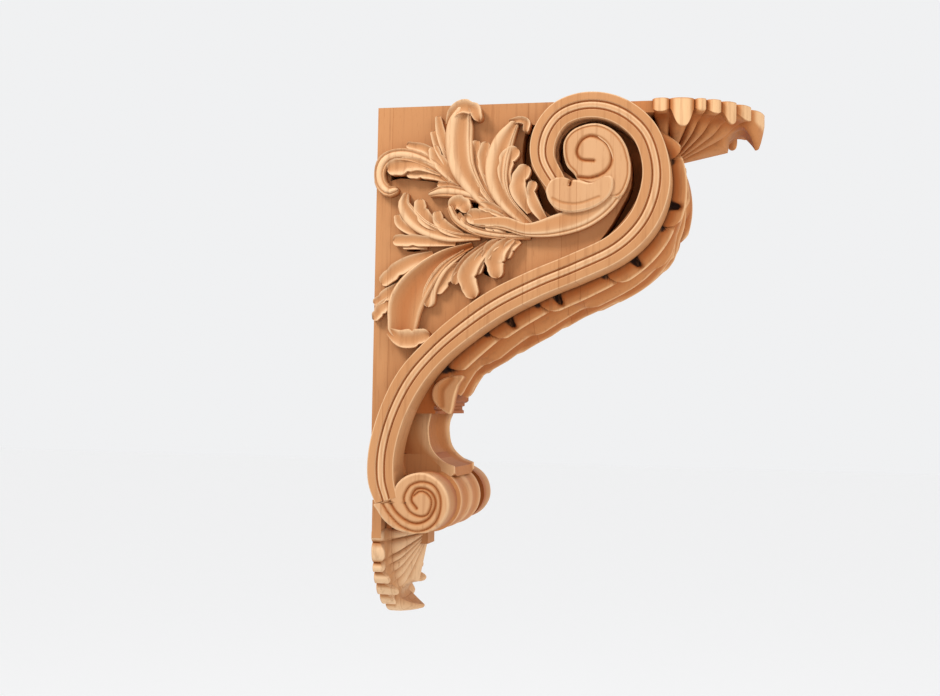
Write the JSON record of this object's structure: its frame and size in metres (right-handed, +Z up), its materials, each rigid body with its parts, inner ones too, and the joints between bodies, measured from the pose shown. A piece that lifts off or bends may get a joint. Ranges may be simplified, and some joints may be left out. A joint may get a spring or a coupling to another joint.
{
  "type": "carved wooden corbel bracket",
  "caption": "Carved wooden corbel bracket with scrolled cheeks, acanthus leaves, a leaf front, a roll and fan leaves at top and foot.",
  "frame": {"origin": "middle of the flat back face, where the bracket meets the wall", "axes": "+X across the width, -Y forward from the wall, +Z up"},
  "size_m": [0.24, 0.4417, 0.607],
  "materials": {
    "carved_wood": "satin"
  },
  "bodies": {
    "root": {"left_cheek": "carved_wood", "right_cheek": "carved_wood", "leaf_core": "carved_wood", "roll_block": "carved_wood", "crown_leaf": "carved_wood", "drop_leaf": "carved_wood"}
  },
  "joints": []
}
